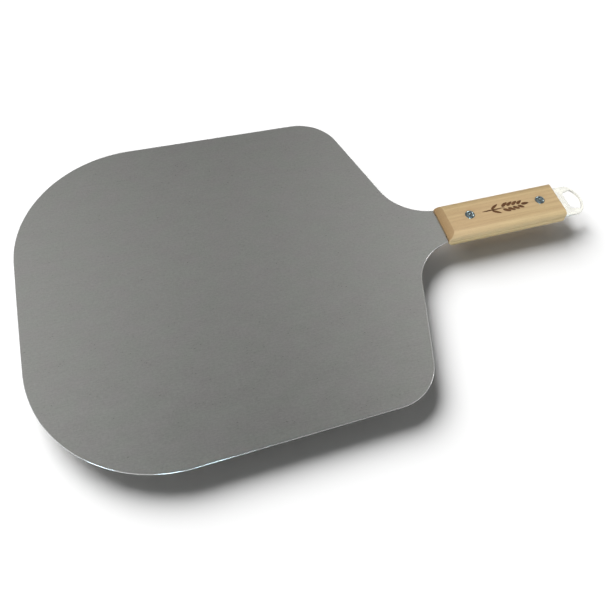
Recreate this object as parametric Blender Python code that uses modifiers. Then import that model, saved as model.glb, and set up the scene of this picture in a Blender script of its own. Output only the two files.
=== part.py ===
"""Pizza peel: aluminium blade, two-scale wooden handle and hanger plate.

Metres, +Z up. The origin is the centre of the baking area on the blade's
top face, +X runs towards the handle, and Z = 0 is the blade's top face.
"""

import math

import bmesh
import bpy
from mathutils import Matrix

INCH = 0.0254
MM = 0.001

# Driving dimensions
BLADE_WIDTH = 14.0 * INCH
BLADE_LENGTH = 402.0 * MM
HANDLE_LENGTH = 5.0 * INCH
HANDLE_WIDTH = 41.0 * MM
SHEET = 2.0 * MM
GAP = 0.3 * MM

# Stations along the peel
BLADE_FRONT_X = -BLADE_WIDTH / 2.0
NOSE_X = BLADE_FRONT_X + BLADE_LENGTH
HANDLE_END_X = NOSE_X + HANDLE_LENGTH

# Blade outline
FRONT_RADIUS = 119.5 * MM
FRONT_BOW = 2.0 * MM
SIDE_TAPER = 5.2 * MM
SHOULDER_X = BLADE_FRONT_X + 339.0 * MM
SHOULDER_RADIUS = 44.0 * MM
SHOULDER_ANGLE = math.radians(14.9)
NECK_RADIUS = 52.0 * MM
NECK_HALF_WIDTH = 20.0 * MM
EDGE_ROUND = 0.5 * MM

# Handle
HANDLE_TOP_Z = 8.0 * MM
HANDLE_BOTTOM_Z = -9.5 * MM
SEAM_Z = -SHEET
UPPER_EDGE_RADIUS = 7.5 * MM
LOWER_EDGE_RADIUS = 3.5 * MM
REAR_EDGE_RADIUS = 3.5 * MM
NOSE_UPRIGHT = 1.0 * MM
NOSE_SETBACK = 6.2 * MM

# Tang
TANG_HALF_WIDTH = 14.0 * MM
TANG_END_X = HANDLE_END_X - 0.5 * MM
TANG_CORNER = 2.0 * MM

# Hanger plate and its hole
PLATE_TOP_Z = -SHEET - GAP
PLATE_HALF_WIDTH = 18.9 * MM
PLATE_TIP_X = HANDLE_END_X + 28.8 * MM
PLATE_CORNER_RADIUS = 7.5 * MM
PLATE_TIP_RADIUS = 23.0 * MM
TONGUE_HALF_WIDTH = 12.0 * MM
TONGUE_FRONT_X = HANDLE_END_X - 33.0 * MM
HOLE_CHORD_X = HANDLE_END_X + 12.5 * MM
HOLE_CHORD_HALF = 10.3 * MM
HOLE_WIDE_HALF = 12.1 * MM
HOLE_CORNER = 1.5 * MM
HOLE_RIM = 2.8 * MM

# Fasteners: M4 screw in a sleeve nut, one near each end of the handle
FRONT_SCREW_X = NOSE_X + 29.0 * MM
SCREW_PITCH = 3.0 * INCH
SCREW_XS = {"front": FRONT_SCREW_X, "rear": FRONT_SCREW_X + SCREW_PITCH}
HEAD_RADIUS = 5.0 * MM
HEAD_HEIGHT = 2.8 * MM
SHANK_RADIUS = 2.0 * MM
SHANK_END_Z = -6.0 * MM
RECESS_WIDTH = 1.2 * MM
RECESS_LENGTH = 5.2 * MM
RECESS_DEPTH = 1.7 * MM
BARREL_RADIUS = 2.5 * MM
BARREL_TOP_Z = 4.0 * MM
FLANGE_RADIUS = 5.0 * MM
FLANGE_THICKNESS = 1.2 * MM
FLANGE_SINK = 0.5 * MM
FLANGE_BOTTOM_Z = HANDLE_BOTTOM_Z + FLANGE_SINK
FLANGE_TOP_Z = FLANGE_BOTTOM_Z + FLANGE_THICKNESS
SLOT_WIDTH = 1.2 * MM
SLOT_DEPTH = 0.7 * MM

MERGE = 0.00001
ROUND_STEPS = 32


def clear_scene():
    for old in list(bpy.data.objects):
        bpy.data.objects.remove(old, do_unlink=True)


def new_collection(name):
    collection = bpy.data.collections.new(name)
    bpy.context.scene.collection.children.link(collection)
    return collection


def new_material(name, colour, roughness, metallic):
    material = bpy.data.materials.new(name)
    material.use_nodes = True
    shader = material.node_tree.nodes["Principled BSDF"]
    shader.inputs["Base Color"].default_value = (*colour, 1.0)
    shader.inputs["Roughness"].default_value = roughness
    shader.inputs["Metallic"].default_value = metallic
    return material


def arc(centre, radius, start, end, steps):
    """Points of an arc from angle start to angle end, both included."""
    points = []
    for i in range(steps + 1):
        angle = start + (end - start) * i / steps
        points.append((centre[0] + radius * math.cos(angle), centre[1] + radius * math.sin(angle)))
    return points


def circle(x, radius):
    return arc((x, 0.0), radius, 0.0, 2.0 * math.pi, ROUND_STEPS)[:-1]


def mirrored(half):
    """Close a half outline (Y >= 0, front to back) with its mirror image."""
    return half + [(x, -y) for x, y in reversed(half) if y > MERGE]


def blade_outline():
    """Outline of the open sheet: front edge, side, shoulder and neck."""
    half_width = BLADE_WIDTH / 2.0
    shoulder_half = half_width - SIDE_TAPER
    front_half = half_width - FRONT_RADIUS
    bow_steps = 6
    half = []
    for i in range(bow_steps):
        y = front_half * i / bow_steps
        half.append((BLADE_FRONT_X + FRONT_BOW * (y / half_width) ** 2, y))
    front_x = BLADE_FRONT_X + FRONT_BOW * (front_half / half_width) ** 2 + FRONT_RADIUS
    half += arc((front_x, front_half), FRONT_RADIUS, math.pi, math.pi / 2.0, 28)
    rear = (SHOULDER_X - SHOULDER_RADIUS, shoulder_half - SHOULDER_RADIUS)
    half += arc(rear, SHOULDER_RADIUS, math.pi / 2.0, SHOULDER_ANGLE, 16)
    half += neck_fillet(rear)
    half.append((NOSE_X - GAP, TANG_HALF_WIDTH))
    return mirrored(half)


def tang_outline():
    """The sheet's narrow end, which runs back between the scales."""
    corner = (TANG_END_X - TANG_CORNER, TANG_HALF_WIDTH - TANG_CORNER)
    half = [(NOSE_X - GAP, TANG_HALF_WIDTH)]
    half += arc(corner, TANG_CORNER, math.pi / 2.0, 0.0, 4)
    half.append((TANG_END_X, 0.0))
    return mirrored(half)


def neck_fillet(rear):
    """Concave arc from the sloping shoulder line to the handle's nose."""
    slope_cos = math.cos(SHOULDER_ANGLE)
    slope_sin = math.sin(SHOULDER_ANGLE)
    start_x = rear[0] + SHOULDER_RADIUS * slope_cos
    start_y = rear[1] + SHOULDER_RADIUS * slope_sin
    centre_y = NECK_HALF_WIDTH + NECK_RADIUS
    run = (start_y + NECK_RADIUS * slope_sin - centre_y) / slope_cos
    centre_x = start_x + run * slope_sin + NECK_RADIUS * slope_cos
    first = math.pi + SHOULDER_ANGLE
    last = math.pi + math.acos((centre_x - NOSE_X + GAP) / NECK_RADIUS)
    return arc((centre_x, centre_y), NECK_RADIUS, first, last, 16)


def plate_outline():
    """Hanger plate's wide round end, behind the handle."""
    half = [(HANDLE_END_X + GAP, TONGUE_HALF_WIDTH), (HANDLE_END_X + GAP, PLATE_HALF_WIDTH)]
    side_y = PLATE_HALF_WIDTH - PLATE_CORNER_RADIUS
    tip_x = PLATE_TIP_X - PLATE_TIP_RADIUS
    reach = PLATE_TIP_RADIUS - PLATE_CORNER_RADIUS
    join = math.asin(side_y / reach)
    corner = (tip_x + reach * math.cos(join), side_y)
    half += arc(corner, PLATE_CORNER_RADIUS, math.pi / 2.0, join, 10)
    half += arc((tip_x, 0.0), PLATE_TIP_RADIUS, join, 0.0, 8)[1:]
    return mirrored(half)


def tongue_outline():
    """Hanger plate's narrow end, between the scales."""
    corner = (TONGUE_FRONT_X + TANG_CORNER, TONGUE_HALF_WIDTH - TANG_CORNER)
    half = [(TONGUE_FRONT_X, 0.0)]
    half += arc(corner, TANG_CORNER, math.pi, math.pi / 2.0, 4)
    half.append((HANDLE_END_X + GAP, TONGUE_HALF_WIDTH))
    return mirrored(half)


def hole_outline():
    """Hanging hole: straight chord, sides that open out, far side along the rim."""
    tip_x = PLATE_TIP_X - PLATE_TIP_RADIUS
    far_radius = PLATE_TIP_RADIUS - HOLE_RIM
    chord_corner = (HOLE_CHORD_X + HOLE_CORNER, HOLE_CHORD_HALF - HOLE_CORNER)
    wide_y = HOLE_WIDE_HALF - HOLE_CORNER
    join = math.asin(wide_y / (far_radius - HOLE_CORNER))
    wide_corner = (tip_x + (far_radius - HOLE_CORNER) * math.cos(join), wide_y)
    slope = math.atan2(wide_y - chord_corner[1], wide_corner[0] - chord_corner[0])
    half = [(HOLE_CHORD_X, 0.0)]
    half += arc(chord_corner, HOLE_CORNER, math.pi, math.pi / 2.0 + slope, 4)
    half += arc(wide_corner, HOLE_CORNER, math.pi / 2.0 + slope, join, 4)
    half += arc((tip_x, 0.0), far_radius, join, 0.0, 8)[1:]
    return mirrored(half)


def place(obj, collection, material):
    collection.objects.link(obj)
    if material:
        obj.data.materials.append(material)
    return obj


def flat_piece(name, outlines, bottom, top, collection, material=None):
    """A plate of the given thickness from closed outlines; inner ones are holes."""
    curve = bpy.data.curves.new(name + "_outline", "CURVE")
    curve.dimensions = "2D"
    curve.fill_mode = "BOTH"
    curve.extrude = (top - bottom) / 2.0
    for outline in outlines:
        spline = curve.splines.new("POLY")
        spline.points.add(len(outline) - 1)
        for point, (x, y) in zip(spline.points, outline):
            point.co = (x, y, 0.0, 1.0)
        spline.use_cyclic_u = True
    outline_object = bpy.data.objects.new(name + "_outline", curve)
    outline_object.location.z = (top + bottom) / 2.0
    collection.objects.link(outline_object)
    bpy.context.view_layer.update()
    graph = bpy.context.evaluated_depsgraph_get()
    mesh = bpy.data.meshes.new_from_object(outline_object.evaluated_get(graph))
    mesh.name = name
    weld(mesh)
    piece = bpy.data.objects.new(name, mesh)
    piece.matrix_world = outline_object.matrix_world.copy()
    bpy.data.objects.remove(outline_object, do_unlink=True)
    return place(piece, collection, material)


def weld(mesh):
    bm = bmesh.new()
    bm.from_mesh(mesh)
    bmesh.ops.remove_doubles(bm, verts=bm.verts, dist=MERGE)
    bmesh.ops.recalc_face_normals(bm, faces=bm.faces)
    bm.to_mesh(mesh)
    bm.free()


def box(name, low, high, collection, material=None):
    size = [h - l for l, h in zip(low, high)]
    centre = [(h + l) / 2.0 for l, h in zip(low, high)]
    mesh = bpy.data.meshes.new(name)
    bm = bmesh.new()
    bmesh.ops.create_cube(bm, size=1.0, matrix=Matrix.Diagonal((*size, 1.0)))
    bm.to_mesh(mesh)
    bm.free()
    piece = bpy.data.objects.new(name, mesh)
    piece.location = centre
    return place(piece, collection, material)


def turned(name, profile, x, collection, material=None):
    """A solid of revolution about a vertical axis at x, from (radius, z) points."""
    mesh = bpy.data.meshes.new(name)
    edges = [(i, i + 1) for i in range(len(profile) - 1)]
    mesh.from_pydata([(radius, 0.0, z) for radius, z in profile], edges, [])
    piece = bpy.data.objects.new(name, mesh)
    piece.location.x = x
    screw = piece.modifiers.new("turn", "SCREW")
    screw.axis = "Z"
    screw.steps = ROUND_STEPS
    screw.render_steps = ROUND_STEPS
    screw.use_merge_vertices = True
    screw.merge_threshold = MERGE
    screw.use_smooth_shade = False
    return place(piece, collection, material)


def cutter(piece):
    piece.hide_render = True
    piece.display_type = "WIRE"
    return piece


def cut(piece, tool):
    boolean = piece.modifiers.new("cut_" + tool.name, "BOOLEAN")
    boolean.operation = "DIFFERENCE"
    boolean.solver = "EXACT"
    boolean.object = cutter(tool)


def unite(piece, other):
    boolean = piece.modifiers.new("join_" + other.name, "BOOLEAN")
    boolean.operation = "UNION"
    boolean.solver = "EXACT"
    boolean.object = cutter(other)


def round_rim(piece, width):
    """Round every sharp edge of a plate's rim."""
    bevel = piece.modifiers.new("rounded_rim", "BEVEL")
    bevel.width = width
    bevel.segments = 2
    bevel.limit_method = "ANGLE"
    bevel.angle_limit = math.radians(40.0)


def weight_rounded_edges(piece, outer_z, rear_x, rear_share):
    """Mark the long edges and, more lightly, the rear edge of the outer face for rounding."""
    mesh = piece.data
    weights = mesh.attributes.new("bevel_weight_edge", "FLOAT", "EDGE")
    for edge in mesh.edges:
        ends = [mesh.vertices[i].co for i in edge.vertices]
        outer = all(abs(end.z - outer_z) < MERGE for end in ends)
        rear = all(abs(end.x - rear_x) < MERGE for end in ends)
        long = abs(ends[0].x - ends[1].x) > MERGE
        if outer and (rear or long):
            weights.data[edge.index].value = rear_share if rear else 1.0


def wooden_scale(name, inner_z, outer_z, toe_z, radius, parts, cutters, material):
    """One handle half: outer edges rounded, nose sloped back from its toe."""
    low = (NOSE_X, -HANDLE_WIDTH / 2.0, min(inner_z, outer_z))
    high = (HANDLE_END_X, HANDLE_WIDTH / 2.0, max(inner_z, outer_z))
    scale = box(name, low, high, parts, material)
    weight_rounded_edges(scale, (outer_z - inner_z) / 2.0, HANDLE_LENGTH / 2.0, REAR_EDGE_RADIUS / radius)
    bevel = scale.modifiers.new("rounded_outer_edges", "BEVEL")
    bevel.width = radius
    bevel.segments = 6
    bevel.limit_method = "WEIGHT"
    cut(scale, nose_wedge(name, outer_z, toe_z, cutters))
    return scale


def nose_wedge(name, outer_z, toe_z, cutters):
    """Cutter that slopes the nose back from its upright toe to the outer face."""
    reach = HANDLE_WIDTH
    wedge = box(name + "_nose_cutter", (-reach, -reach, -reach), (reach, reach, reach), cutters)
    for vertex in wedge.data.vertices:
        vertex.co.x -= reach
    wedge.location = (NOSE_X, 0.0, toe_z)
    wedge.rotation_euler.y = math.atan(NOSE_SETBACK / (outer_z - toe_z))
    return wedge


def build_blade(parts, cutters):
    holes = [circle(x, BARREL_RADIUS + GAP) for x in SCREW_XS.values()]
    aluminium = new_material("brushed_aluminium", (0.30, 0.30, 0.285), 0.38, 0.9)
    blade = flat_piece("blade", [blade_outline()], -SHEET, 0.0, parts, aluminium)
    unite(blade, flat_piece("tang", [tang_outline()] + holes, -SHEET, 0.0, cutters))
    round_rim(blade, EDGE_ROUND)
    return blade


def build_hanger_plate(parts, cutters):
    steel = new_material("bright_steel", (0.86, 0.85, 0.80), 0.25, 0.8)
    bottom = PLATE_TOP_Z - SHEET
    wide_end = [plate_outline(), hole_outline()]
    tongue = [tongue_outline(), circle(SCREW_XS["rear"], BARREL_RADIUS + GAP)]
    plate = flat_piece("hanger_plate", wide_end, bottom, PLATE_TOP_Z, parts, steel)
    unite(plate, flat_piece("tongue", tongue, bottom, PLATE_TOP_Z, cutters))
    round_rim(plate, EDGE_ROUND)
    return plate


def build_upper_scale(parts, cutters, wood):
    """Upper half, with the pocket that hides the tang."""
    toe_z = GAP + NOSE_UPRIGHT
    heights = (SEAM_Z, HANDLE_TOP_Z, toe_z)
    upper = wooden_scale("upper_scale", *heights, UPPER_EDGE_RADIUS, parts, cutters, wood)
    half_width = TANG_HALF_WIDTH + GAP
    low = (NOSE_X - MM, -half_width, SEAM_Z - MM)
    high = (HANDLE_END_X + MM, half_width, GAP)
    cut(upper, box("tang_pocket", low, high, cutters))
    top = HANDLE_TOP_Z + MM
    step = BARREL_TOP_Z + GAP
    bore = BARREL_RADIUS + GAP
    profile = [(0.0, top), (SHANK_RADIUS + GAP, top), (SHANK_RADIUS + GAP, step)]
    profile += [(bore, step), (bore, SEAM_Z - MM), (0.0, SEAM_Z - MM)]
    for end, x in SCREW_XS.items():
        cut(upper, turned(f"upper_{end}_bore", profile, x, cutters))
    return upper


def build_lower_scale(parts, cutters, wood):
    """Lower half, with the pocket for the hanger plate's tongue."""
    inner_z = SEAM_Z - GAP
    toe_z = inner_z - NOSE_UPRIGHT
    heights = (inner_z, HANDLE_BOTTOM_Z, toe_z)
    lower = wooden_scale("lower_scale", *heights, LOWER_EDGE_RADIUS, parts, cutters, wood)
    half_width = TONGUE_HALF_WIDTH + GAP
    low = (TONGUE_FRONT_X - GAP, -half_width, PLATE_TOP_Z - SHEET - GAP)
    high = (HANDLE_END_X + MM, half_width, 0.0)
    cut(lower, box("tongue_pocket", low, high, cutters))
    step = FLANGE_TOP_Z + GAP
    bottom = HANDLE_BOTTOM_Z - MM
    bore = BARREL_RADIUS + GAP
    sink = FLANGE_RADIUS + GAP
    profile = [(0.0, 0.0), (bore, 0.0), (bore, step), (sink, step), (sink, bottom), (0.0, bottom)]
    for end, x in SCREW_XS.items():
        cut(lower, turned(f"lower_{end}_bore", profile, x, cutters))
    return lower


def build_screw(name, x, parts, cutters, zinc):
    """Domed head, plain shank and a cross recess."""
    seat = HANDLE_TOP_Z + GAP
    dome_radius = (HEAD_RADIUS ** 2 + HEAD_HEIGHT ** 2) / (2.0 * HEAD_HEIGHT)
    sweep = math.asin(HEAD_RADIUS / dome_radius)
    centre_z = seat + HEAD_HEIGHT - dome_radius
    dome_steps = 6
    profile = []
    for i in range(dome_steps + 1):
        angle = sweep * i / dome_steps
        profile.append((dome_radius * math.sin(angle), centre_z + dome_radius * math.cos(angle)))
    profile += [(SHANK_RADIUS, seat), (SHANK_RADIUS, SHANK_END_Z), (0.0, SHANK_END_Z)]
    screw = turned(name, profile, x, parts, zinc)
    top = seat + HEAD_HEIGHT + MM
    floor = seat + HEAD_HEIGHT - RECESS_DEPTH
    for turn in range(2):
        slot = box(f"{name}_slot_{turn}", (-RECESS_LENGTH / 2.0, -RECESS_WIDTH / 2.0, floor),
                   (RECESS_LENGTH / 2.0, RECESS_WIDTH / 2.0, top), cutters)
        slot.location.x = x
        slot.rotation_euler.z = math.radians(45.0 + 90.0 * turn)
        cut(screw, slot)
    return screw


def build_nut(name, x, parts, cutters, zinc):
    """Sleeve nut: slotted flange below, hollow barrel above, open at the top."""
    inner = SHANK_RADIUS + GAP / 2.0
    floor = SHANK_END_Z - GAP
    profile = [
        (0.0, floor),
        (inner, floor),
        (inner, BARREL_TOP_Z),
        (BARREL_RADIUS, BARREL_TOP_Z),
        (BARREL_RADIUS, FLANGE_TOP_Z),
        (FLANGE_RADIUS, FLANGE_TOP_Z),
        (FLANGE_RADIUS, FLANGE_BOTTOM_Z),
        (0.0, FLANGE_BOTTOM_Z),
    ]
    nut = turned(name, profile, x, parts, zinc)
    low = (-2.0 * FLANGE_RADIUS, -SLOT_WIDTH / 2.0, FLANGE_BOTTOM_Z - MM)
    high = (2.0 * FLANGE_RADIUS, SLOT_WIDTH / 2.0, FLANGE_BOTTOM_Z + SLOT_DEPTH)
    slot = box(name + "_slot", low, high, cutters)
    slot.location.x = x
    cut(nut, slot)
    return nut


def main():
    clear_scene()
    parts = new_collection("pizza_peel")
    cutters = new_collection("cutters_and_joined_shapes")
    wood = new_material("beech", (0.58, 0.42, 0.23), 0.55, 0.0)
    zinc = new_material("zinc_steel", (0.55, 0.58, 0.60), 0.25, 1.0)
    build_blade(parts, cutters)
    build_hanger_plate(parts, cutters)
    build_upper_scale(parts, cutters, wood)
    build_lower_scale(parts, cutters, wood)
    for end, x in SCREW_XS.items():
        build_screw(f"{end}_screw", x, parts, cutters, zinc)
        build_nut(f"{end}_barrel_nut", x, parts, cutters, zinc)


main()
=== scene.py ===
import math

import bmesh
import bpy
from mathutils import Matrix, Vector


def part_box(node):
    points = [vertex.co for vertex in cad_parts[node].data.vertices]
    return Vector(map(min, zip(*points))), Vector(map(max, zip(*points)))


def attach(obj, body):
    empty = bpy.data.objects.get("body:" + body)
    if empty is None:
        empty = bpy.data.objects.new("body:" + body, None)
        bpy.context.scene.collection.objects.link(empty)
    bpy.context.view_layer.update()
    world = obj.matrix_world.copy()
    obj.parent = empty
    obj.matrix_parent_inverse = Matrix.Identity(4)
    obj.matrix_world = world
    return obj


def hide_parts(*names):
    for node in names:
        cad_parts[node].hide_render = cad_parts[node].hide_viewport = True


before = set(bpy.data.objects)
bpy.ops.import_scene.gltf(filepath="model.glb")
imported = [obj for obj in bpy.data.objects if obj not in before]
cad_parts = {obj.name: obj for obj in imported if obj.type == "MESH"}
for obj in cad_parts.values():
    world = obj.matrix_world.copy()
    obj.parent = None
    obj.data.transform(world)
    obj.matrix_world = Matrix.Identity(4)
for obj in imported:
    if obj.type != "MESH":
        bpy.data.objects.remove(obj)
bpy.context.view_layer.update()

MM = 0.001
GAP = 0.3 * MM
MERGE = 0.000005

# Stations read from the frame
BLADE_LOW, BLADE_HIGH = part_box("blade")
UPPER_LOW, UPPER_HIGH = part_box("upper_scale")
LOWER_LOW, LOWER_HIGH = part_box("lower_scale")
PLATE_LOW, PLATE_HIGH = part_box("hanger_plate")
SCREW_X = {}
for end in ("front", "rear"):
    head_low, head_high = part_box(f"{end}_screw")
    SCREW_X[end] = (head_low.x + head_high.x) / 2.0
# The two screws are alike, so the last one's box serves both
HEAD_TOP_Z = head_high.z
SHANK_END_Z = head_low.z
HEAD_RADIUS = (head_high.y - head_low.y) / 2.0
NUT_LOW, NUT_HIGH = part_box("rear_barrel_nut")

SHEET = BLADE_HIGH.z - BLADE_LOW.z
NOSE_X = UPPER_LOW.x
HANDLE_END_X = UPPER_HIGH.x
HANDLE_HALF_WIDTH = UPPER_HIGH.y
SEAM_Z = UPPER_LOW.z
HANDLE_TOP_Z = UPPER_HIGH.z
HANDLE_BOTTOM_Z = LOWER_LOW.z

# Blade outline
BLADE_FRONT_X = BLADE_LOW.x
BLADE_HALF_WIDTH = BLADE_HIGH.y
FRONT_RADIUS = 119.5 * MM
FRONT_BOW = 2.0 * MM
SIDE_TAPER = 5.2 * MM
SHOULDER_X = BLADE_FRONT_X + 339.0 * MM
SHOULDER_RADIUS = 44.0 * MM
SHOULDER_ANGLE = math.radians(14.9)
NECK_RADIUS = 52.0 * MM
NECK_HALF_WIDTH = 20.0 * MM
BLADE_RIM = 0.65 * MM
# A face takes the brushed finish if its normal is at least this steep
BRUSHED_NORMAL_Z = 0.97
TANG_HALF_WIDTH = 14.0 * MM
TANG_CORNER = 2.0 * MM

# Handle
UPPER_EDGE_RADIUS = 7.5 * MM
LOWER_EDGE_RADIUS = 3.5 * MM
REAR_EDGE_RADIUS = 3.5 * MM
NOSE_UPRIGHT = 1.0 * MM
NOSE_SETBACK = 6.2 * MM
EASED_EDGE = 0.55 * MM

# Burned mark: an ear of wheat, placed from halfway between the screws
MARK_DEPTH = 0.25 * MM
STALK_SIZE = (25.0 * MM, 1.5 * MM)
LEAF_SIZE = (9.5 * MM, 2.7 * MM)
LEAF_PLACE = (-10.5 * MM, 3.4 * MM)
GRAIN_SIZE = (8.4 * MM, 3.3 * MM)
GRAIN_PLACE = (0.5 * MM, 3.7 * MM)
GRAIN_ROWS = 4
GRAIN_PITCH = 5.2 * MM
GRAIN_NARROWING = 0.3 * MM
GRAIN_SHORTENING = 0.5 * MM
GRAIN_TILT = math.radians(30.0)
TIP_SIZE = (8.0 * MM, 3.2 * MM)
TIP_X = 21.5 * MM

# Hanger plate
PLATE_HALF_WIDTH = PLATE_HIGH.y
PLATE_CORNER_RADIUS = 7.5 * MM
PLATE_TIP_RADIUS = 23.0 * MM
PLATE_RIM = 0.5 * MM
TONGUE_HALF_WIDTH = 12.0 * MM
HOLE_CHORD_X = HANDLE_END_X + 12.5 * MM
HOLE_CHORD_HALF = 10.3 * MM
HOLE_WIDE_HALF = 12.1 * MM
HOLE_CORNER = 1.5 * MM
HOLE_RIM = 2.8 * MM

# Fasteners
HEAD_HEIGHT = HEAD_TOP_Z - HANDLE_TOP_Z - GAP
HEAD_UNDERCUT = 0.25 * MM
SHANK_RADIUS = 2.0 * MM
RECESS_WIDTH = 1.3 * MM
RECESS_LENGTH = 5.6 * MM
RECESS_DEPTH = 1.7 * MM
# Length and width of the recess at its foot, as shares of its mouth
RECESS_TAPER = (0.35, 0.6)
BARREL_RADIUS = 2.5 * MM
FLANGE_THICKNESS = 1.2 * MM
SLOT_WIDTH = 1.2 * MM
SLOT_DEPTH = 0.7 * MM

# Camera and stage
CAMERA_AIM = Vector((0.0695, -0.0560, 0.0))
CAMERA_DISTANCE = 0.6161
CAMERA_ELEVATION = math.radians(56.59)
CAMERA_AZIMUTH = math.radians(19.28)
CAMERA_ROLL = math.radians(3.51)
CAMERA_LENS = 40.33
FLOOR_HALF = 6.0
FLOOR_DROP = 13.0 * MM

# Light
SURROUNDINGS = 0.322
SURROUNDINGS_COLOUR = (0.985, 0.99, 0.97, 1.0)
# Axis, centre, the distances from it between which the level changes, and by how much
SURROUNDINGS_SLOPES = (
    ("X", 0.10, 0.05, 0.5, 0.24),
    ("Z", 0.76, 0.04, 0.25, -0.25),
)
AMBIENT_SHARE = 0.42
KEY_AZIMUTH = math.radians(25.0)
KEY_ELEVATION = math.radians(41.0)
KEY_SPREAD = math.radians(47.0)
KEY_STRENGTH = 5.3
OVERHEAD_SPREAD = math.radians(80.0)
OVERHEAD_STRENGTH = 2.72
WHITE = (1.0, 1.0, 1.0)
# Direction, width and power of each card that the blade's front rim mirrors
GLINTS = (
    ((-0.75, -0.62, 0.24), 0.50, 10.5),
    ((-0.16, -0.93, 0.33), 0.45, 10.5),
    ((0.09, -0.94, 0.33), 0.10, 3.0),
)
GLINT_COLOUR = (0.62, 0.86, 1.0)


# ---------------------------------------------------------------- outlines

def arc(centre, radius, start, end, steps):
    points = []
    for i in range(steps + 1):
        angle = start + (end - start) * i / steps
        points.append((centre[0] + radius * math.cos(angle), centre[1] + radius * math.sin(angle)))
    return points


def circle(x, radius, steps=64):
    return arc((x, 0.0), radius, 0.0, 2.0 * math.pi, steps)[:-1]


def mirrored(half):
    """Close a half outline (Y >= 0, front to back) with its mirror image."""
    return half + [(x, -y) for x, y in reversed(half) if y > MERGE]


def blade_half_outline():
    shoulder_half = BLADE_HALF_WIDTH - SIDE_TAPER
    front_half = BLADE_HALF_WIDTH - FRONT_RADIUS
    bow_steps = 24
    half = []
    for i in range(bow_steps):
        y = front_half * i / bow_steps
        half.append((BLADE_FRONT_X + FRONT_BOW * (y / BLADE_HALF_WIDTH) ** 2, y))
    front_x = BLADE_FRONT_X + FRONT_BOW * (front_half / BLADE_HALF_WIDTH) ** 2 + FRONT_RADIUS
    half += arc((front_x, front_half), FRONT_RADIUS, math.pi, math.pi / 2.0, 96)
    rear = (SHOULDER_X - SHOULDER_RADIUS, shoulder_half - SHOULDER_RADIUS)
    half += arc(rear, SHOULDER_RADIUS, math.pi / 2.0, SHOULDER_ANGLE, 48)
    half += neck_fillet(rear)
    tang_end_x = BLADE_HIGH.x
    half.append((NOSE_X - GAP, TANG_HALF_WIDTH))
    corner = (tang_end_x - TANG_CORNER, TANG_HALF_WIDTH - TANG_CORNER)
    return half + arc(corner, TANG_CORNER, math.pi / 2.0, 0.0, 8)


def neck_fillet(rear):
    """Concave arc from the sloping shoulder line to the handle's nose."""
    slope_cos = math.cos(SHOULDER_ANGLE)
    slope_sin = math.sin(SHOULDER_ANGLE)
    start_x = rear[0] + SHOULDER_RADIUS * slope_cos
    start_y = rear[1] + SHOULDER_RADIUS * slope_sin
    centre_y = NECK_HALF_WIDTH + NECK_RADIUS
    run = (start_y + NECK_RADIUS * slope_sin - centre_y) / slope_cos
    centre_x = start_x + run * slope_sin + NECK_RADIUS * slope_cos
    first = math.pi + SHOULDER_ANGLE
    last = math.pi + math.acos((centre_x - NOSE_X + GAP) / NECK_RADIUS)
    return arc((centre_x, centre_y), NECK_RADIUS, first, last, 48)


def plate_outline():
    """Hanger plate: tongue between the scales, then the wide round end."""
    tongue_front_x = PLATE_LOW.x
    corner = (tongue_front_x + TANG_CORNER, TONGUE_HALF_WIDTH - TANG_CORNER)
    shoulder_x = HANDLE_END_X + GAP
    half = arc(corner, TANG_CORNER, math.pi, math.pi / 2.0, 8)
    half += [(shoulder_x, TONGUE_HALF_WIDTH), (shoulder_x, PLATE_HALF_WIDTH)]
    side_y = PLATE_HALF_WIDTH - PLATE_CORNER_RADIUS
    tip_x = PLATE_HIGH.x - PLATE_TIP_RADIUS
    reach = PLATE_TIP_RADIUS - PLATE_CORNER_RADIUS
    join = math.asin(side_y / reach)
    round_corner = (tip_x + reach * math.cos(join), side_y)
    half += arc(round_corner, PLATE_CORNER_RADIUS, math.pi / 2.0, join, 24)
    half += arc((tip_x, 0.0), PLATE_TIP_RADIUS, join, 0.0, 24)[1:]
    return mirrored(half)


def hole_outline():
    """Hanging hole: straight chord, sides that open out, far side along the rim."""
    tip_x = PLATE_HIGH.x - PLATE_TIP_RADIUS
    far_radius = PLATE_TIP_RADIUS - HOLE_RIM
    chord_corner = (HOLE_CHORD_X + HOLE_CORNER, HOLE_CHORD_HALF - HOLE_CORNER)
    wide_y = HOLE_WIDE_HALF - HOLE_CORNER
    join = math.asin(wide_y / (far_radius - HOLE_CORNER))
    wide_corner = (tip_x + (far_radius - HOLE_CORNER) * math.cos(join), wide_y)
    slope = math.atan2(wide_y - chord_corner[1], wide_corner[0] - chord_corner[0])
    half = arc(chord_corner, HOLE_CORNER, math.pi, math.pi / 2.0 + slope, 12)
    half += arc(wide_corner, HOLE_CORNER, math.pi / 2.0 + slope, join, 12)
    half += arc((tip_x, 0.0), far_radius, join, 0.0, 24)[1:]
    return mirrored(half)


# ---------------------------------------------------------------- mesh helpers

def new_collection(name):
    collection = bpy.data.collections.new(name)
    bpy.context.scene.collection.children.link(collection)
    return collection


PEEL = new_collection("peel")
STAGE = new_collection("stage")
FASTENERS = new_collection("fasteners")


def object_of(name, mesh):
    piece = bpy.data.objects.new(name, mesh)
    bpy.context.scene.collection.objects.link(piece)
    return piece


def evaluated_mesh(piece):
    bpy.context.view_layer.update()
    graph = bpy.context.evaluated_depsgraph_get()
    mesh = bpy.data.meshes.new_from_object(piece.evaluated_get(graph))
    mesh.transform(piece.matrix_world)
    return mesh


def welded(mesh):
    bm = bmesh.new()
    bm.from_mesh(mesh)
    bmesh.ops.remove_doubles(bm, verts=bm.verts, dist=MERGE)
    bmesh.ops.recalc_face_normals(bm, faces=bm.faces)
    bm.to_mesh(mesh)
    bm.free()
    return mesh


def smooth(piece, degrees):
    piece.data.shade_smooth()
    piece.data.set_sharp_from_angle(angle=math.radians(degrees))
    return piece


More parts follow.
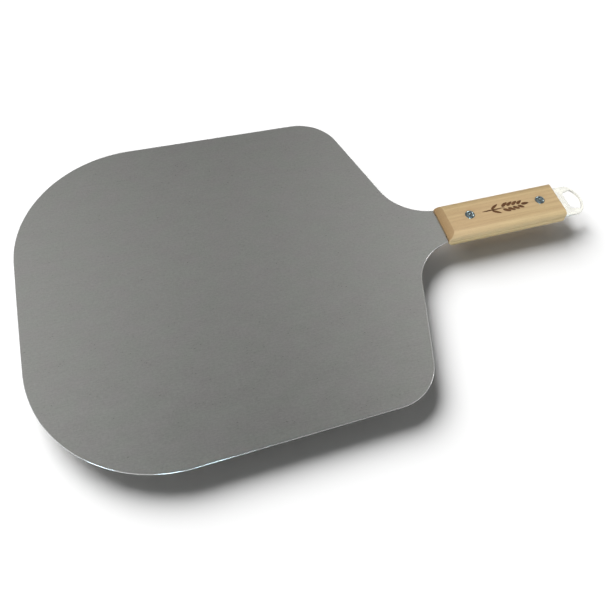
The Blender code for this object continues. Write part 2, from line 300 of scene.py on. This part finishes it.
def plate(name, outlines, bottom, top, rim):
    """A flat plate from closed outlines, its edges rounded over by rim."""
    curve = bpy.data.curves.new(name + "_outline", "CURVE")
    curve.dimensions = "2D"
    curve.fill_mode = "BOTH"
    curve.extrude = (top - bottom) / 2.0 - rim
    curve.bevel_depth = rim
    curve.bevel_resolution = 5
    curve.offset = -rim
    for outline in outlines:
        spline = curve.splines.new("POLY")
        spline.points.add(len(outline) - 1)
        for point, (x, y) in zip(spline.points, outline):
            point.co = (x, y, 0.0, 1.0)
        spline.use_cyclic_u = True
    drawn = object_of(name + "_outline", curve)
    drawn.location.z = (top + bottom) / 2.0
    mesh = welded(evaluated_mesh(drawn))
    bpy.data.objects.remove(drawn, do_unlink=True)
    piece = smooth(object_of(name, mesh), 40.0)
    keep_faces_flat(mesh, bottom, top)
    return piece


def ladder_plate(name, half, bottom, top, rim, rim_steps=8):
    """A plate symmetric about X with a rounded rim; its faces are strips from side to side.

    half runs front to back with Y >= 0, and only its first point lies on the X axis.
    """
    outline = mirrored(half)
    count = len(outline)
    inward = []
    for i, (x, y) in enumerate(outline):
        before = Vector(outline[i - 1])
        after = Vector(outline[(i + 1) % count])
        first = (Vector((x, y)) - before).normalized()
        second = (after - Vector((x, y))).normalized()
        turned_in = Vector((first.y + second.y, -first.x - second.x))
        inward.append(turned_in / (1.0 + first.dot(second)))
    half_height = (top - bottom) / 2.0
    flat = half_height - rim
    middle = (top + bottom) / 2.0
    points = []
    rings = 2 * rim_steps + 2
    for ring in range(rings):
        upper = ring <= rim_steps
        step = ring if upper else ring - 1
        angle = math.pi / 2.0 - math.pi / 2.0 * step / rim_steps
        z = middle + rim * math.sin(angle) + (flat if upper else -flat)
        inset = rim * (1.0 - math.cos(angle))
        points += [(x + n.x * inset, y + n.y * inset, z) for (x, y), n in zip(outline, inward)]
    faces = []
    for ring in range(rings - 1):
        for i in range(count):
            j = (i + 1) % count
            here = ring * count
            faces.append((here + i, here + count + i, here + count + j, here + j))
    below = (rings - 1) * count
    for strip in side_to_side(half, count):
        faces.append(tuple(strip))
        faces.append(tuple(below + i for i in reversed(strip)))
    mesh = bpy.data.meshes.new(name)
    mesh.from_pydata(points, [], faces)
    return object_of(name, welded(mesh))


def side_to_side(half, count):
    """Strips across a mirrored outline, each as a loop of point numbers."""
    strips = []
    last = len(half) - 1
    i = 0
    while i < last:
        near = [i + 1]
        while near[-1] < last and abs(half[near[-1] + 1][0] - half[near[-1]][0]) < MERGE:
            near.append(near[-1] + 1)
        far = [count - number for number in reversed(near)]
        start = [i] if i == 0 else [count - i, i]
        strips.append(start + near + far)
        i = near[-1]
    return strips


def keep_faces_flat(mesh, bottom, top):
    """Normals at the flat faces point straight out, so a rounded rim starts level with them."""
    normals = []
    for vertex in mesh.vertices:
        if abs(vertex.co.z - top) < MERGE:
            normals.append((0.0, 0.0, 1.0))
        elif abs(vertex.co.z - bottom) < MERGE:
            normals.append((0.0, 0.0, -1.0))
        else:
            normals.append(tuple(vertex.normal))
    mesh.normals_split_custom_set_from_vertices(normals)


def box(name, low, high):
    mesh = bpy.data.meshes.new(name)
    bm = bmesh.new()
    size = [end - start for start, end in zip(low, high)]
    centre = [(end + start) / 2.0 for start, end in zip(low, high)]
    scaled = Matrix.Translation(centre) @ Matrix.Diagonal((*size, 1.0))
    bmesh.ops.create_cube(bm, size=1.0, matrix=scaled)
    bm.to_mesh(mesh)
    bm.free()
    return object_of(name, mesh)


def turned(name, profile, x, steps=64):
    """A solid of revolution about a vertical axis at x, from (radius, z) points."""
    mesh = bpy.data.meshes.new(name)
    edges = [(i, i + 1) for i in range(len(profile) - 1)]
    mesh.from_pydata([(radius, 0.0, z) for radius, z in profile], edges, [])
    piece = object_of(name, mesh)
    piece.location.x = x
    screw = piece.modifiers.new("turn", "SCREW")
    screw.axis = "Z"
    screw.steps = steps
    screw.render_steps = steps
    screw.use_merge_vertices = True
    screw.merge_threshold = MERGE
    turned_mesh = welded(evaluated_mesh(piece))
    bpy.data.objects.remove(piece, do_unlink=True)
    return object_of(name, turned_mesh)


def settle(piece):
    """Apply the piece's modifiers to its mesh."""
    mesh = evaluated_mesh(piece)
    piece.modifiers.clear()
    piece.data = mesh
    return piece


def cut(piece, tools, material_mode="INDEX"):
    for tool in tools:
        boolean = piece.modifiers.new("cut", "BOOLEAN")
        boolean.operation = "DIFFERENCE"
        boolean.solver = "EXACT"
        boolean.object = tool
        boolean.material_mode = material_mode
    settle(piece)
    for tool in tools:
        bpy.data.objects.remove(tool, do_unlink=True)
    return piece


def ease_edges(piece, width, segments=2, degrees=35.0):
    bevel = piece.modifiers.new("eased", "BEVEL")
    bevel.width = width
    bevel.segments = segments
    bevel.limit_method = "ANGLE"
    bevel.angle_limit = math.radians(degrees)
    bevel.use_clamp_overlap = False
    return settle(piece)


# ---------------------------------------------------------------- materials

def math_node(tree, operation, *values):
    """A Math node; each value is a number or an output of another node."""
    node = tree.nodes.new("ShaderNodeMath")
    node.operation = operation
    for index, value in enumerate(values):
        if isinstance(value, (int, float)):
            node.inputs[index].default_value = value
        else:
            tree.links.new(value, node.inputs[index])
    return node.outputs["Value"]


class Shader:
    """A material's node tree, with short calls to add and join nodes."""

    def __init__(self, name):
        self.material = bpy.data.materials.new(name)
        self.material.use_nodes = True
        self.tree = self.material.node_tree
        self.surface = self.tree.nodes["Principled BSDF"]
        self.coordinates = self.tree.nodes.new("ShaderNodeTexCoord")

    def constants(self, **values):
        for key, value in values.items():
            self.surface.inputs[key.replace("_", " ")].default_value = value

    def link(self, output, node, name):
        self.tree.links.new(output, node.inputs[name])

    def stretched(self, scale, shift=(0.0, 0.0, 0.0)):
        mapping = self.tree.nodes.new("ShaderNodeMapping")
        mapping.inputs["Scale"].default_value = scale
        mapping.inputs["Location"].default_value = shift
        self.link(self.coordinates.outputs["Object"], mapping, "Vector")
        return mapping.outputs["Vector"]

    def noise(self, scale, detail=2.0, roughness=0.5, shift=(0.0, 0.0, 0.0)):
        node = self.tree.nodes.new("ShaderNodeTexNoise")
        node.inputs["Scale"].default_value = 1.0
        node.inputs["Detail"].default_value = detail
        node.inputs["Roughness"].default_value = roughness
        self.link(self.stretched(scale, shift), node, "Vector")
        return node.outputs["Fac"]

    def remap(self, value, low, high, to_low, to_high):
        node = self.tree.nodes.new("ShaderNodeMapRange")
        node.clamp = True
        limits = {"From Min": low, "From Max": high, "To Min": to_low, "To Max": to_high}
        for name, number in limits.items():
            node.inputs[name].default_value = number
        self.link(value, node, "Value")
        return node.outputs["Result"]

    def math(self, operation, *values):
        return math_node(self.tree, operation, *values)

    def mix(self, factor, first, second):
        node = self.tree.nodes.new("ShaderNodeMix")
        node.data_type = "RGBA"
        for index, value in ((0, factor), (6, first), (7, second)):
            if isinstance(value, (int, float)):
                node.inputs[index].default_value = value
            elif isinstance(value, tuple):
                node.inputs[index].default_value = (*value, 1.0)
            else:
                self.tree.links.new(value, node.inputs[index])
        return node.outputs[2]

    def scaled(self, colour, level):
        node = self.tree.nodes.new("ShaderNodeVectorMath")
        node.operation = "SCALE"
        self.tree.links.new(colour, node.inputs[0])
        self.tree.links.new(level, node.inputs["Scale"])
        return node.outputs["Vector"]

    def blend(self, value, low, high, first, second):
        """The first colour where value is at low, the second where it is at high."""
        return self.mix(self.remap(value, low, high, 0.0, 1.0), first, second)

    def bump(self, height, distance, strength=1.0):
        node = self.tree.nodes.new("ShaderNodeBump")
        node.inputs["Strength"].default_value = strength
        node.inputs["Distance"].default_value = distance
        self.link(height, node, "Height")
        self.link(node.outputs["Normal"], self.surface, "Normal")

    def brushed_along_x(self, amount):
        """Highlights stretch across a grain that runs along X."""
        node = self.tree.nodes.new("ShaderNodeTangent")
        node.direction_type = "RADIAL"
        node.axis = "X"
        self.link(node.outputs["Tangent"], self.surface, "Tangent")
        self.constants(Anisotropic=amount)

    def finish(self, colour, roughness):
        self.link(colour, self.surface, "Base Color")
        self.link(roughness, self.surface, "Roughness")
        return self.material


def brushed_aluminium():
    """Mill-finished sheet: fine cloth-like grain, lengthwise streaks and faint cloudy patches."""
    shader = Shader("brushed_aluminium")
    shader.constants(Metallic=1.0)
    shader.brushed_along_x(0.4)
    grain = shader.noise((330.0, 900.0, 900.0), 3.0, 0.65)
    crossing = shader.noise((900.0, 260.0, 300.0), 2.0, 0.6, (5.0, 2.0, 1.0))
    streaks = shader.noise((24.0, 700.0, 700.0), 2.0, 0.5)
    clouds = shader.noise((40.0, 60.0, 50.0), 5.0, 0.7)
    tint = shader.noise((40.0, 55.0, 50.0), 2.0, 0.5, (3.0, 1.0, 2.0))
    level = shader.math("ADD", shader.remap(grain, 0.3, 0.7, 0.925, 1.075),
                        shader.remap(crossing, 0.3, 0.7, -0.035, 0.035))
    level = shader.math("ADD", level, shader.remap(streaks, 0.3, 0.7, -0.018, 0.018))
    level = shader.math("ADD", level, shader.remap(clouds, 0.3, 0.7, -0.03, 0.03))
    base = shader.blend(tint, 0.35, 0.65, (0.735, 0.745, 0.712), (0.745, 0.730, 0.718))
    roughness = shader.math("ADD", shader.remap(grain, 0.3, 0.7, 0.28, 0.36),
                            shader.remap(clouds, 0.3, 0.7, -0.02, 0.02))
    shader.bump(grain, 0.000003)
    return shader.finish(shader.scaled(base, level), roughness)


def polished_rim():
    """Rolled and buffed edge of the sheet."""
    shader = Shader("polished_rim")
    shader.constants(Metallic=1.0)
    scuffs = shader.noise((700.0, 700.0, 700.0), 3.0, 0.6)
    colour = shader.blend(scuffs, 0.35, 0.65, (0.70, 0.71, 0.72), (0.80, 0.80, 0.79))
    return shader.finish(colour, shader.remap(scuffs, 0.3, 0.7, 0.10, 0.2))


def bright_plate():
    """Bright satin steel with faint clouds and lengthwise scratches."""
    shader = Shader("bright_plate")
    shader.constants(Metallic=0.85)
    clouds = shader.noise((120.0, 160.0, 160.0), 3.0, 0.6)
    scratches = shader.noise((300.0, 4000.0, 2000.0), 2.0, 0.5)
    colour = shader.blend(clouds, 0.35, 0.65, (0.93, 0.925, 0.87), (0.955, 0.95, 0.905))
    shader.bump(scratches, 0.000002)
    return shader.finish(colour, shader.remap(clouds, 0.3, 0.7, 0.20, 0.30))


def bright_zinc():
    """Blue-grey zinc plate, smooth enough to glint."""
    shader = Shader("bright_zinc")
    shader.constants(Metallic=1.0)
    patches = shader.noise((900.0, 900.0, 900.0), 2.0, 0.5)
    colour = shader.blend(patches, 0.35, 0.65, (0.24, 0.31, 0.33), (0.34, 0.40, 0.42))
    return shader.finish(colour, shader.remap(patches, 0.3, 0.7, 0.14, 0.22))


def beech(name, shift):
    """Straight-grained beech: growth layers, fibres, flecks, and darker ends: real end grain, made
    darker still by painted shade on the faces turned along X, such as the nose bevel.
    """
    shader = Shader(name)
    shader.constants(IOR=1.45)
    wobble = shader.noise((6.0, 40.0, 40.0), 2.0, 0.5, shift)
    layers = shader.noise((3.0, 260.0, 150.0), 3.0, 0.6, shift)
    fibres = shader.noise((60.0, 2600.0, 2600.0), 3.0, 0.6, shift)
    flecks = shader.noise((420.0, 3600.0, 3600.0), 1.0, 0.4, shift)
    pale = (0.520, 0.390, 0.206)
    dark = (0.385, 0.268, 0.132)
    rosy = (0.520, 0.348, 0.198)
    # End colours: real end grain, deepened by painted shade for the nose bevel and rear end
    end_grain_and_shade_dark = (0.305, 0.178, 0.081)
    end_grain_and_shade_pale = (0.370, 0.228, 0.111)
    colour = shader.blend(layers, 0.38, 0.66, pale, dark)
    colour = shader.mix(shader.remap(wobble, 0.35, 0.7, 0.0, 0.55), colour, rosy)
    fibre_tone = shader.remap(fibres, 0.3, 0.7, 0.92, 1.08)
    fleck_tone = shader.remap(flecks, 0.28, 0.36, 0.80, 1.0)
    colour = shader.scaled(colour, shader.math("MULTIPLY", fibre_tone, fleck_tone))
    split = shader.tree.nodes.new("ShaderNodeSeparateXYZ")
    shader.link(shader.coordinates.outputs["Normal"], split, "Vector")
    # Faces turned along X take the end colours, which are end grain and painted shade together
    facing = shader.math("ABSOLUTE", split.outputs["X"])
    pores = shader.noise((900.0, 1500.0, 1500.0), 2.0, 0.6, shift)
    end_grain_and_shade_colour = shader.blend(pores, 0.35, 0.65, end_grain_and_shade_dark, end_grain_and_shade_pale)
    colour = shader.blend(facing, 0.45, 0.75, colour, end_grain_and_shade_colour)
    shader.bump(fibres, 0.00003, 0.6)
    return shader.finish(colour, shader.remap(fibres, 0.3, 0.7, 0.42, 0.55))


def scorched_wood():
    """Floor and walls of the burned-in mark."""
    shader = Shader("scorched_wood")
    soot = shader.noise((900.0, 1500.0, 1500.0), 3.0, 0.6)
    colour = shader.blend(soot, 0.35, 0.65, (0.070, 0.026, 0.009), (0.150, 0.066, 0.024))
    return shader.finish(colour, shader.remap(soot, 0.3, 0.7, 0.65, 0.8))


def pale_floor():
    """Matt, nearly white paper."""
    shader = Shader("pale_floor")
    shader.constants(Base_Color=(0.86, 0.86, 0.86, 1.0), Roughness=0.9, Specular_IOR_Level=0.1)
    return shader.material


# ---------------------------------------------------------------- pieces

def place(piece, slot, *nodes):
    """The piece stands for its CAD nodes, on the only body."""
    PEEL.objects.link(piece)
    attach(piece, "root")
    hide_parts(*nodes)
    return piece


def make_blade(surface, rim):
    blade = ladder_plate("aluminium_blade", blade_half_outline(), BLADE_LOW.z, BLADE_HIGH.z, BLADE_RIM)
    radius = BARREL_RADIUS + GAP
    profile = [(0.0, MM), (radius, MM), (radius, -SHEET - MM), (0.0, -SHEET - MM)]
    cut(blade, [turned("tang_hole", profile, x) for x in SCREW_X.values()])
    smooth(blade, 40.0)
    keep_faces_flat(blade.data, BLADE_LOW.z, BLADE_HIGH.z)
    blade.data.materials.append(surface)
    blade.data.materials.append(rim)
    for face in blade.data.polygons:
        face.material_index = 0 if abs(face.normal.z) > BRUSHED_NORMAL_Z else 1
    return place(blade, "blade_aluminium", "blade")


def make_hanger(surface):
    outlines = [plate_outline(), hole_outline(), circle(SCREW_X["rear"], BARREL_RADIUS + GAP)]
    hanger = plate("steel_hanger_plate", outlines, PLATE_LOW.z, PLATE_HIGH.z, PLATE_RIM)
    hanger.data.materials.append(surface)
    return place(hanger, "plate_steel", "hanger_plate")


def rounded_block(name, inner_z, outer_z, radius):
    """Handle half with its long outer edges and rear outer edge rounded."""
    low = (NOSE_X, -HANDLE_HALF_WIDTH, min(inner_z, outer_z))
    high = (HANDLE_END_X, HANDLE_HALF_WIDTH, max(inner_z, outer_z))
    block = box(name, low, high)
    mesh = block.data
    weights = mesh.attributes.new("bevel_weight_edge", "FLOAT", "EDGE")
    for edge in mesh.edges:
        ends = [mesh.vertices[i].co for i in edge.vertices]
        outer = all(abs(end.z - outer_z) < MERGE for end in ends)
        rear = all(abs(end.x - HANDLE_END_X) < MERGE for end in ends)
        long = abs(ends[0].x - ends[1].x) > MERGE
        if outer and (rear or long):
            weights.data[edge.index].value = REAR_EDGE_RADIUS / radius if rear else 1.0
    bevel = block.modifiers.new("rounded_outer_edges", "BEVEL")
    bevel.width = radius
    bevel.segments = 14
    bevel.limit_method = "WEIGHT"
    return settle(block)


def nose_wedge(outer_z, toe_z):
    """Cutter that slopes the nose back from its upright toe to the outer face."""
    reach = HANDLE_HALF_WIDTH * 2.0
    wedge = box("nose_cutter", (-2.0 * reach, -reach, -reach), (0.0, reach, reach))
    wedge.location = (NOSE_X, 0.0, toe_z)
    wedge.rotation_euler.y = math.atan(NOSE_SETBACK / (outer_z - toe_z))
    return wedge


def oval(x, y, length, width, angle, steps=24):
    """An egg-shaped outline, fuller at its near end."""
    fullness = 0.25
    points = []
    for i in range(steps):
        turn = 2.0 * math.pi * i / steps
        along = length / 2.0 * math.cos(turn)
        across = width / 2.0 * math.sin(turn) * (1.0 - fullness * math.cos(turn))
        points.append((x + along * math.cos(angle) - across * math.sin(angle),
                       y + along * math.sin(angle) + across * math.cos(angle)))
    return points


def wheat_ear():
    """A plain ear of wheat between the screws: stalk, two leaves and paired grains."""
    middle = (SCREW_X["front"] + SCREW_X["rear"]) / 2.0
    shapes = [oval(middle - STALK_SIZE[0] / 2.0, 0.0, *STALK_SIZE, 0.0)]
    for side in (1.0, -1.0):
        tilt = side * GRAIN_TILT
        shapes.append(oval(middle + LEAF_PLACE[0], side * LEAF_PLACE[1], *LEAF_SIZE, tilt))
        for row in range(GRAIN_ROWS):
            x = middle + GRAIN_PLACE[0] + GRAIN_PITCH * row
            y = side * (GRAIN_PLACE[1] - GRAIN_NARROWING * row)
            length = GRAIN_SIZE[0] - GRAIN_SHORTENING * row
            shapes.append(oval(x, y, length, GRAIN_SIZE[1], tilt))
    shapes.append(oval(middle + TIP_X, 0.0, *TIP_SIZE, 0.0))
    return shapes


def burned_mark(char):
    """Cutter for the mark: shallow grooves whose floor and walls are charred."""
    cutters = []
    for outline in wheat_ear():
        groove = plate("mark", [outline], HANDLE_TOP_Z - MARK_DEPTH, HANDLE_TOP_Z + MM, 0.0)
        groove.data.materials.append(char)
        cutters.append(groove)
    return cutters


def make_upper_scale(wood, char):
    toe_z = UPPER_LOW.z + SHEET + GAP + NOSE_UPRIGHT
    upper = rounded_block("wood_upper_grip", SEAM_Z, HANDLE_TOP_Z, UPPER_EDGE_RADIUS)
    cut(upper, [nose_wedge(HANDLE_TOP_Z, toe_z)])
    ease_edges(upper, EASED_EDGE)
    half_width = TANG_HALF_WIDTH + GAP
    pocket_low = (NOSE_X - MM, -half_width, SEAM_Z - MM)
    pocket = box("tang_pocket", pocket_low, (HANDLE_END_X + MM, half_width, BLADE_HIGH.z + GAP))
    top = HANDLE_TOP_Z + MM
    step = NUT_HIGH.z + GAP
    bore = BARREL_RADIUS + GAP
    clear = SHANK_RADIUS + GAP
    profile = [(0.0, top), (clear, top), (clear, step), (bore, step)]
    profile += [(bore, SEAM_Z - MM), (0.0, SEAM_Z - MM)]
    bores = [turned("upper_bore", profile, x) for x in SCREW_X.values()]
    upper.data.materials.append(wood)
    cut(upper, [pocket] + bores)
    cut(upper, burned_mark(char), "TRANSFER")
    smooth(upper, 25.0)
    return place(upper, "handle_wood", "upper_scale")


def make_lower_scale(wood):
    inner_z = LOWER_HIGH.z
    lower = rounded_block("wood_lower_grip", inner_z, HANDLE_BOTTOM_Z, LOWER_EDGE_RADIUS)
    cut(lower, [nose_wedge(HANDLE_BOTTOM_Z, inner_z - NOSE_UPRIGHT)])
    ease_edges(lower, EASED_EDGE)
    half_width = TONGUE_HALF_WIDTH + GAP
    pocket_low = (PLATE_LOW.x - GAP, -half_width, PLATE_LOW.z - GAP)
    pocket = box("tongue_pocket", pocket_low, (HANDLE_END_X + MM, half_width, 0.0))
    step = NUT_LOW.z + FLANGE_THICKNESS + GAP
    bottom = HANDLE_BOTTOM_Z - MM
    bore = BARREL_RADIUS + GAP
    sink = NUT_HIGH.y + GAP
    profile = [(0.0, 0.0), (bore, 0.0), (bore, step), (sink, step), (sink, bottom), (0.0, bottom)]
    bores = [turned("lower_bore", profile, x) for x in SCREW_X.values()]
    cut(lower, [pocket] + bores)
    smooth(lower, 25.0)
    lower.data.materials.append(wood)
    return place(lower, "handle_wood", "lower_scale")


def cross_recess(x, floor, top):
    """Four-winged driver recess: two tapered bars at right angles."""
    bars = []
    for turn in range(2):
        bar = box("recess_bar", (-RECESS_LENGTH / 2.0, -RECESS_WIDTH / 2.0, floor),
                  (RECESS_LENGTH / 2.0, RECESS_WIDTH / 2.0, top))
        for vertex in bar.data.vertices:
            if vertex.co.z < (floor + top) / 2.0:
                vertex.co.x *= RECESS_TAPER[0]
                vertex.co.y *= RECESS_TAPER[1]
        bar.location.x = x
        bar.rotation_euler.z = math.radians(45.0 + 90.0 * turn)
        bars.append(bar)
    return bars


def make_screw(end, zinc):
    seat = HANDLE_TOP_Z + GAP
    dome_radius = (HEAD_RADIUS ** 2 + HEAD_HEIGHT ** 2) / (2.0 * HEAD_HEIGHT)
    sweep = math.asin(HEAD_RADIUS / dome_radius)
    centre_z = seat + HEAD_HEIGHT - dome_radius
    dome_steps = 20
    profile = []
    for i in range(dome_steps + 1):
        angle = sweep * i / dome_steps
        profile.append((dome_radius * math.sin(angle), centre_z + dome_radius * math.cos(angle)))
    profile += [(HEAD_RADIUS - HEAD_UNDERCUT, seat), (SHANK_RADIUS, seat)]
    profile += [(SHANK_RADIUS, SHANK_END_Z), (0.0, SHANK_END_Z)]
    screw = turned(f"{end}_dome_screw", profile, SCREW_X[end])
    top = seat + HEAD_HEIGHT
    cut(screw, cross_recess(SCREW_X[end], top - RECESS_DEPTH, top + 0.2 * MM))
    smooth(screw, 30.0)
    screw.data.materials.append(zinc)
    FASTENERS.objects.link(screw)
    return place(screw, "fastener_zinc", f"{end}_screw")


def make_nut(end, zinc):
    """Sleeve nut: slotted flange below, hollow barrel above."""
    inner = SHANK_RADIUS + GAP / 2.0
    floor = SHANK_END_Z - GAP
    bottom = NUT_LOW.z
    flange = NUT_HIGH.y
    soft = 0.3 * MM
    profile = [(0.0, floor), (inner, floor), (inner, NUT_HIGH.z), (BARREL_RADIUS, NUT_HIGH.z)]
    profile += [(BARREL_RADIUS, bottom + FLANGE_THICKNESS), (flange, bottom + FLANGE_THICKNESS)]
    profile += arc((flange - soft, bottom + soft), soft, 0.0, -math.pi / 2.0, 6)
    profile.append((0.0, bottom))
    nut = turned(f"{end}_sleeve_nut", profile, SCREW_X[end])
    slot = box("nut_slot", (-2.0 * flange, -SLOT_WIDTH / 2.0, bottom - MM),
               (2.0 * flange, SLOT_WIDTH / 2.0, bottom + SLOT_DEPTH))
    slot.location.x = SCREW_X[end]
    cut(nut, [slot])
    smooth(nut, 30.0)
    nut.data.materials.append(zinc)
    return place(nut, "fastener_zinc", f"{end}_barrel_nut")


# ---------------------------------------------------------------- stage

def make_camera():
    toward = Vector((-math.sin(CAMERA_AZIMUTH) * math.cos(CAMERA_ELEVATION),
                     -math.cos(CAMERA_AZIMUTH) * math.cos(CAMERA_ELEVATION),
                     math.sin(CAMERA_ELEVATION)))
    data = bpy.data.cameras.new("camera")
    data.lens = CAMERA_LENS
    data.sensor_width = 36.0
    data.clip_start = 0.01
    data.clip_end = 50.0
    camera = bpy.data.objects.new("camera", data)
    bpy.context.scene.collection.objects.link(camera)
    turn = (-toward).to_track_quat("-Z", "Y").to_matrix().to_4x4()
    spot = Matrix.Translation(CAMERA_AIM + toward * CAMERA_DISTANCE)
    camera.matrix_world = spot @ turn @ Matrix.Rotation(CAMERA_ROLL, 4, "Z")
    bpy.context.scene.camera = camera


def make_floor():
    """A pale plane below the peel, which hangs a little above it as in a product shot."""
    mesh = bpy.data.meshes.new("floor")
    bm = bmesh.new()
    bmesh.ops.create_grid(bm, x_segments=1, y_segments=1, size=FLOOR_HALF)
    bm.to_mesh(mesh)
    bm.free()
    floor = object_of("floor", mesh)
    floor.location.z = HANDLE_BOTTOM_Z - FLOOR_DROP
    floor.data.materials.append(pale_floor())
    STAGE.objects.link(floor)


def area_light(name, spot, aim, size, power, colour, lit):
    data = bpy.data.lights.new(name, "AREA")
    data.shape = "RECTANGLE"
    data.size = size[0]
    data.size_y = size[1]
    data.energy = power
    data.color = colour
    light = bpy.data.objects.new(name, data)
    bpy.context.scene.collection.objects.link(light)
    light.location = spot
    light.rotation_euler = (Vector(aim) - Vector(spot)).to_track_quat("-Z", "Y").to_euler()
    light.visible_camera = False
    light.light_linking.receiver_collection = lit
    return light


def make_world():
    """Grey surroundings for the metal to mirror, brighter to both sides and about 50 degrees up.

    Only a share of them lights what isn't glossy. Past the floor's edge the camera sees white.
    """
    world = bpy.data.worlds.new("studio")
    bpy.context.scene.world = world
    world.use_nodes = True
    tree = world.node_tree
    level = SURROUNDINGS
    split = tree.nodes.new("ShaderNodeSeparateXYZ")
    tree.links.new(tree.nodes.new("ShaderNodeTexCoord").outputs["Generated"], split.inputs["Vector"])
    for axis, centre, start, end, amount in SURROUNDINGS_SLOPES:
        offset = math_node(tree, "SUBTRACT", split.outputs[axis], centre)
        reach = math_node(tree, "ABSOLUTE", offset)
        ramp = tree.nodes.new("ShaderNodeMapRange")
        ramp.inputs["From Min"].default_value = start
        ramp.inputs["From Max"].default_value = end
        ramp.inputs["To Max"].default_value = amount
        tree.links.new(reach, ramp.inputs["Value"])
        level = math_node(tree, "ADD", ramp.outputs["Result"], level)
    grey = tree.nodes["Background"]
    grey.inputs["Color"].default_value = SURROUNDINGS_COLOUR
    path = tree.nodes.new("ShaderNodeLightPath")
    extra = math_node(tree, "MULTIPLY", path.outputs["Is Glossy Ray"], 1.0 - AMBIENT_SHARE)
    share = math_node(tree, "ADD", extra, AMBIENT_SHARE)
    tree.links.new(math_node(tree, "MULTIPLY", level, share), grey.inputs["Strength"])
    pale = tree.nodes.new("ShaderNodeBackground")
    pale.inputs["Color"].default_value = (*WHITE, 1.0)
    mix = tree.nodes.new("ShaderNodeMixShader")
    tree.links.new(path.outputs["Is Camera Ray"], mix.inputs[0])
    tree.links.new(grey.outputs[0], mix.inputs[1])
    tree.links.new(pale.outputs[0], mix.inputs[2])
    tree.links.new(mix.outputs[0], tree.nodes["World Output"].inputs["Surface"])


def sun_light(name, towards, strength, spread, colour, lit):
    """A broad far light on one collection, which no gloss shows."""
    data = bpy.data.lights.new(name, "SUN")
    data.energy = strength
    data.angle = spread
    data.color = colour
    light = bpy.data.objects.new(name, data)
    bpy.context.scene.collection.objects.link(light)
    light.rotation_euler = Vector(towards).to_track_quat("-Z", "Y").to_euler()
    light.visible_camera = False
    light.visible_glossy = False
    light.light_linking.receiver_collection = lit


def make_lights():
    """The key throws the shadow on the floor; everything else lights only the peel."""
    key_from = Vector((-math.sin(KEY_AZIMUTH) * math.cos(KEY_ELEVATION),
                       math.cos(KEY_AZIMUTH) * math.cos(KEY_ELEVATION), math.sin(KEY_ELEVATION)))
    sun_light("key", -key_from, KEY_STRENGTH, KEY_SPREAD, WHITE, STAGE)
    downwards = (0.15, 0.12, -1.0)
    sun_light("overhead", downwards, OVERHEAD_STRENGTH, OVERHEAD_SPREAD, (1.0, 0.985, 0.96), PEEL)
    handle_end = Vector((HANDLE_END_X, 0.0, 0.0))
    card("plate_card", handle_end, (0.60, 0.47, 0.66), 1.4, (0.34, 0.34), 0.35, (1.0, 0.99, 0.95))
    card("rear_card", handle_end, (0.88, -0.17, 0.39), 1.5, (0.40, 0.30), 2.0, (1.0, 0.99, 0.97))
    front = Vector((BLADE_FRONT_X, 0.0, 0.0))
    card("nose_card", front, (-0.95, -0.18, 0.30), 2.0, (0.60, 0.50), 1.3, WHITE)
    for number, (direction, width, power) in enumerate(GLINTS):
        card(f"glint_{number}", front, direction, 2.0, (width, 0.40), power, GLINT_COLOUR)
    card("screw_glint", handle_end, (0.69, 0.38, 0.62), 1.5, (0.36, 0.36), 8.0,
         (0.95, 1.0, 1.0), FASTENERS)
    card("screw_far_glint", handle_end, (0.05, 0.97, 0.20), 1.5, (0.45, 0.35), 3.0,
         (0.90, 1.0, 1.0), FASTENERS)
    fill("front_fill", (-0.5, -2.2, 0.2), (0.1, 0.0, 0.0), (1.6, 0.3), 5.0, (0.70, 0.92, 1.0))
    fill("rear_fill", (1.8, -0.1, 0.4), (0.3, 0.0, 0.0), (0.6, 0.4), 4.0, (1.0, 0.99, 0.97))


def card(name, aim, direction, distance, size, power, colour, lit=PEEL):
    """A lit card for the metal to mirror, in a direction from what it serves."""
    spot = aim + Vector(direction).normalized() * distance
    area_light(name, spot, aim, size, power, colour, lit)


def fill(name, spot, aim, size, power, colour):
    """A soft light that lifts the wood's sides, and that no gloss shows."""
    light = area_light(name, spot, aim, size, power, colour, PEEL)
    light.visible_glossy = False


def main():
    make_camera()
    make_world()
    make_lights()
    make_floor()
    bpy.context.scene.view_settings.view_transform = "Standard"
    zinc = bright_zinc()
    make_blade(brushed_aluminium(), polished_rim())
    make_hanger(bright_plate())
    make_upper_scale(beech("beech_upper", (0.0, 0.0, 0.0)), scorched_wood())
    make_lower_scale(beech("beech_lower", (1.7, 3.1, 5.3)))
    for end in SCREW_X:
        make_screw(end, zinc)
        make_nut(end, zinc)


main()

bpy.context.view_layer.update()
